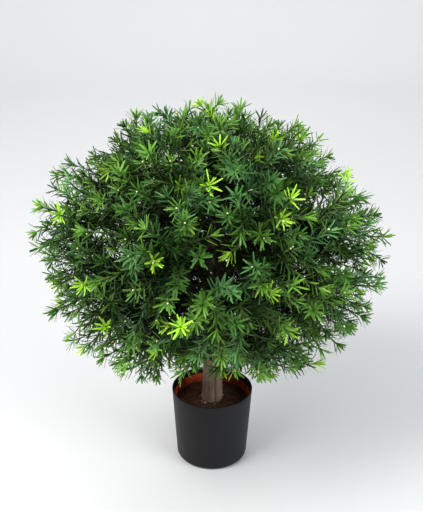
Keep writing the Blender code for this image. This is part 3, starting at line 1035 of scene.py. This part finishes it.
class YEW_OT_fill(bpy.types.Operator):
    """Add the coir bed with its crumbs, fibres and the glue at the post's foot"""

    bl_idname = "yew.fill"
    bl_label = "Fill"

    def execute(self, context):
        settings = context.scene.yew_pot
        colour = tuple(settings.coir)
        bed = coir_finish("Coir bed", colour, 1.9)
        add_piece("coir_bed", fill_mesh(), bed, "potting_fill", "potting_fill")
        crumbs = coir_finish("Coir crumbs", tuple(c * 1.7 for c in colour), 2.8)
        add_piece("coir_crumbs", crumb_mesh(settings.crumbs, random.Random(SEED + 1)),
                  crumbs, "potting_fill")
        fibre = plain_finish("Coir fibre", (0.20, 0.095, 0.045), 0.7, 300.0, 0.5, 1.5)
        tubes = fibre_tubes(settings.fibres, random.Random(SEED + 2))
        add_piece("coir_fibres", join_tubes("coir_fibres", tubes, 4), fibre, "potting_fill")
        glue = plain_finish("Dried glue", (0.52, 0.46, 0.38), 0.35, 400.0, 0.7, 1.2)
        add_piece("dried_glue", glue_mesh(random.Random(SEED + 3)), glue, "potting_fill")
        return {'FINISHED'}


def glue_mesh(rng):
    """Small pale drops of dried glue round the post's foot."""
    bm = bmesh.new()
    for _ in range(14):
        angle = rng.uniform(0.0, 2.0 * math.pi)
        away = TRUNK_FOOT_RADIUS + rng.uniform(0.0002, 0.0024)
        x, y = away * math.cos(angle), away * math.sin(angle)
        size = rng.uniform(0.0006, 0.0016)
        scale = Vector((size * rng.uniform(1.0, 2.0), size, size * 0.6))
        turn = Quaternion((0.0, 0.0, 1.0), angle + math.pi / 2.0)
        matrix = Matrix.LocRotScale(Vector((x, y, fill_height(x, y) + 0.0004)), turn, scale)
        bmesh.ops.create_uvsphere(bm, u_segments=10, v_segments=6, radius=1.0, matrix=matrix)
    mesh = bpy.data.meshes.new("dried_glue")
    bm.to_mesh(mesh)
    bm.free()
    mesh.shade_smooth()
    return mesh


def post_relief(angle, z):
    """Height of the bark's ridges on the post, from -1 to 1."""
    around = Vector((math.cos(angle), math.sin(angle), 0.0))
    ridge = noise.noise(around * 7.0 + Vector((0.0, 0.0, z * 16.0)))
    fine = noise.noise(around * 22.0 + Vector((0.0, 0.0, z * 40.0)))
    lump = noise.noise(around * 1.6 + Vector((0.0, 0.0, z * 11.0)))
    return 0.55 * ridge + 0.30 * fine + 0.7 * lump


def post_mesh(relief):
    """The post with its taper, lean, groove and bark relief, closed at both ends."""
    steps, rings = 128, 220
    verts = []
    for ring in range(rings + 1):
        z = TRUNK_FOOT + (TRUNK_TOP - TRUNK_FOOT) * ring / rings
        centre = trunk_centre(z)
        rounding = max(z - (TRUNK_TOP - 0.004), 0.0) / 0.004
        for step in range(steps):
            angle = 2.0 * math.pi * step / steps
            off = math.remainder(angle - GROOVE_TURN + 0.10 * math.sin(z * 60.0), 2.0 * math.pi)
            groove = GROOVE_DEPTH * math.exp(-((off / 0.15) ** 2))
            radius = trunk_radius(z) - groove - relief
            radius += relief * post_relief(angle, z)
            radius -= 0.004 * (1.0 - math.sqrt(1.0 - min(rounding, 0.999) ** 2))
            verts.append(centre + Vector((math.cos(angle), math.sin(angle), 0.0)) * radius)
    quads = []
    for ring in range(rings):
        for step in range(steps):
            follow = (step + 1) % steps
            low = ring * steps
            quads.append((low + step, low + follow, low + steps + follow, low + steps + step))
    mesh = mesh_from_arrays("post_bark", np.array([tuple(v) for v in verts]), np.array(quads))
    bm = bmesh.new()
    bm.from_mesh(mesh)
    bmesh.ops.holes_fill(bm, edges=[edge for edge in bm.edges if edge.is_boundary], sides=0)
    bm.to_mesh(mesh)
    bm.free()
    return mesh


class YEW_OT_post(bpy.types.Operator):
    """Add the wooden post with its bark and groove"""

    bl_idname = "yew.post"
    bl_label = "Post"

    def execute(self, context):
        settings = context.scene.yew_post
        material = post_finish(tuple(settings.wood))
        add_piece("post_bark", post_mesh(settings.relief), material, "post_wood", "trunk")
        return {'FINISHED'}


class YEW_OT_boughs(bpy.types.Operator):
    """Add the boughs between the post and the masses of foliage"""

    bl_idname = "yew.boughs"
    bl_label = "Boughs"

    def execute(self, context):
        masses = plan_masses(random.Random(SEED))
        tubes, nodes = [], []
        for mass in masses:
            if mass.bough_height is None:
                continue
            nodes.append(f"bough_{mass.name}")
            path = bough_path(mass, BOUGH_STEPS)
            radii = []
            for index, place in enumerate(path):
                share = index / (len(path) - 1)
                radius = BOUGH_ROOT_RADIUS + (BOUGH_TIP_RADIUS - BOUGH_ROOT_RADIUS) * share
                radii.append(radius * (1.0 + 0.10 * noise.noise(place * 260.0)))
            tubes.append((path, radii))
        mesh = join_tubes("bough_bark", tubes, 12)
        add_piece("bough_bark", mesh, bough_finish(), "bough", *nodes)
        return {'FINISHED'}


class YEW_OT_foliage(bpy.types.Operator):
    """Add the twigs, the needles by colour and the cream beads"""

    bl_idname = "yew.foliage"
    bl_label = "Foliage"

    def execute(self, context):
        settings = context.scene.yew_crown
        masses, shoots = grow_crown(settings)
        rng = random.Random(SEED + 9)
        kinds = {"dark": [], "middle": [], "bluish": [], "fresh": [], "lime": []}
        beads = []
        tubes = []
        for shoot in shoots:
            draw = rng.random()
            kind = "dark" if draw < 0.34 else "middle" if draw < 0.72 else "bluish"
            draw = rng.random()
            fresh = draw < settings.fresh_share
            body, tuft = shoot_needles(shoot, settings, rng, fresh)
            kinds[kind] += body
            kinds["lime" if draw < settings.lime_share else "fresh"] += tuft
            if rng.random() < settings.bead_share:
                for _ in range(rng.choice((1, 1, 2))):
                    aside = across(shoot.tangent(1.0), rng.uniform(0.0, 6.28)) * 0.0016
                    place = shoot.tip + shoot.tangent(1.0) * rng.uniform(0.002, 0.005) + aside
                    beads.append((place, shoot.tangent(1.0)))
            path = [shoot.at(step / 7.0) for step in range(8)]
            radii = [0.62 * (shoot.radius + (SHOOT_TIP_RADIUS - shoot.radius) * step / 7.0)
                     for step in range(8)]
            tubes.append((path, radii))
        nodes = [f"foliage_{mass.name}" for mass in masses]
        slots = {"dark": "needles_dark", "middle": "needles_mid", "bluish": "needles_mid",
                 "fresh": "needles_light", "lime": "needles_light"}
        for kind, rows in kinds.items():
            material = needle_finish(f"Needles {kind}", tuple(getattr(settings, kind)))
            for part, first in enumerate(range(0, len(rows), NEEDLES_A_PIECE)):
                name = f"needles_{kind}_{part + 1}"
                mesh = needle_mesh(name, rows[first:first + NEEDLES_A_PIECE])
                add_piece(name, mesh, material, slots[kind], *nodes)
        twigs = join_tubes("twigs", tubes, 5)
        add_piece("twigs", twigs, twig_finish(), "bough", *nodes)
        cream = plain_finish("Cream bead", (0.80, 0.74, 0.50), 0.35, 500.0, 0.85, 1.1)
        add_piece("tip_beads", bead_mesh("tip_beads", beads, rng), cream, "needles_light")
        return {'FINISHED'}


def add_area(name, place, target, size, power, colour):
    """A square area light aimed at a point."""
    light = bpy.data.lights.new(name, 'AREA')
    light.shape = 'SQUARE'
    light.size = size
    light.energy = power
    light.color = colour
    obj = bpy.data.objects.new(name, light)
    obj.location = place
    obj.rotation_euler = (Vector(target) - Vector(place)).to_track_quat('-Z', 'Y').to_euler()
    bpy.context.scene.collection.objects.link(obj)
    return obj


def add_camera(focal_px):
    """The photograph's camera: distance, height and tilt fitted to the pot's rim and foot."""
    picture_height = 512.0
    data = bpy.data.cameras.new("Camera")
    data.sensor_width = 36.0
    data.lens = focal_px / picture_height * data.sensor_width
    obj = bpy.data.objects.new("Camera", data)
    obj.location = (-0.0027, -1.1526, 0.8315)
    tilt = Quaternion((1.0, 0.0, 0.0), math.radians(90.0 - 22.53))
    roll = Quaternion((0.0, 0.0, 1.0), math.radians(0.43))
    obj.rotation_euler = (tilt @ roll).to_euler()
    bpy.context.scene.collection.objects.link(obj)
    bpy.context.scene.camera = obj


def cove_mesh():
    """A floor that runs up into a wall far behind, and the same way on every side."""
    radius, bend, wall, steps = 3.2, 1.2, 3.5, 96
    profile = [(0.001, 0.0)]
    profile += [(radius * step / 6.0, 0.0) for step in range(1, 7)]
    profile += arc(radius, bend, bend, -90.0, 0.0, 12)[1:]
    profile += [(radius + bend, bend + wall)]
    verts, quads = lathe(profile, steps)
    return mesh_from_arrays("studio_floor", np.array(verts), np.array(quads)[:, ::-1])


class YEW_OT_stage(bpy.types.Operator):
    """Add the pale floor, the studio lights and the camera"""

    bl_idname = "yew.stage"
    bl_label = "Stage"

    def execute(self, context):
        settings = context.scene.yew_stage
        mesh = cove_mesh()
        mesh.materials.append(floor_finish())
        floor = bpy.data.objects.new("studio_floor", mesh)
        context.scene.collection.objects.link(floor)
        world = bpy.data.worlds.new("Studio")
        world.use_nodes = True
        background = world.node_tree.nodes["Background"]
        background.inputs["Color"].default_value = (0.93, 0.96, 1.0, 1.0)
        background.inputs["Strength"].default_value = 0.78
        context.scene.world = world
        aim = (0.0, 0.0, 0.30)
        add_area("Key light", (-1.5, -1.1, 2.0), aim, 1.4, settings.key_power, (1.0, 0.99, 0.97))
        add_area("Fill light", (1.9, -1.3, 1.3), aim, 1.6, settings.fill_power, (0.95, 0.98, 1.0))
        add_area("Back light", (0.0, 3.0, 3.0), (0.0, 3.3, 0.0), 3.0, settings.back_power,
                 (1.0, 1.0, 1.0))
        add_camera(settings.focal_px)
        context.scene.view_settings.view_transform = 'Standard'
        context.scene.view_settings.look = 'Medium High Contrast'
        return {'FINISHED'}


class YEW_PT_panel(bpy.types.Panel):
    """Sidebar panel with the settings and a button for each piece"""

    bl_label = "Yew Ball"
    bl_idname = "YEW_PT_panel"
    bl_space_type = 'VIEW_3D'
    bl_region_type = 'UI'
    bl_category = "Yew Ball"

    def draw(self, context):
        layout = self.layout
        for group in (context.scene.yew_pot, context.scene.yew_post, context.scene.yew_crown,
                      context.scene.yew_stage):
            box = layout.box()
            for name in group.__annotations__:
                box.prop(group, name)
        for operator in OPERATORS:
            layout.operator(operator.bl_idname)


GROUPS = (
    ("yew_pot", YewPotSettings),
    ("yew_post", YewPostSettings),
    ("yew_crown", YewCrownSettings),
    ("yew_stage", YewStageSettings),
)

OPERATORS = (
    YEW_OT_stage,
    YEW_OT_outer_pot,
    YEW_OT_inner_pot,
    YEW_OT_fill,
    YEW_OT_post,
    YEW_OT_boughs,
    YEW_OT_foliage,
)


def register():
    """Register the settings, the operators and the panel."""
    for name, group in GROUPS:
        bpy.utils.register_class(group)
        setattr(bpy.types.Scene, name, PointerProperty(type=group))
    for operator in OPERATORS:
        bpy.utils.register_class(operator)
    bpy.utils.register_class(YEW_PT_panel)


def unregister():
    """Take all of it out again."""
    bpy.utils.unregister_class(YEW_PT_panel)
    for operator in reversed(OPERATORS):
        bpy.utils.unregister_class(operator)
    for name, group in reversed(GROUPS):
        delattr(bpy.types.Scene, name)
        bpy.utils.unregister_class(group)


def main():
    """Make every piece in order."""
    register()
    bpy.ops.yew.stage()
    bpy.ops.yew.outer_pot()
    bpy.ops.yew.inner_pot()
    bpy.ops.yew.fill()
    bpy.ops.yew.post()
    bpy.ops.yew.boughs()
    bpy.ops.yew.foliage()
    bpy.context.view_layer.update()


if __name__ == "__main__":
    main()
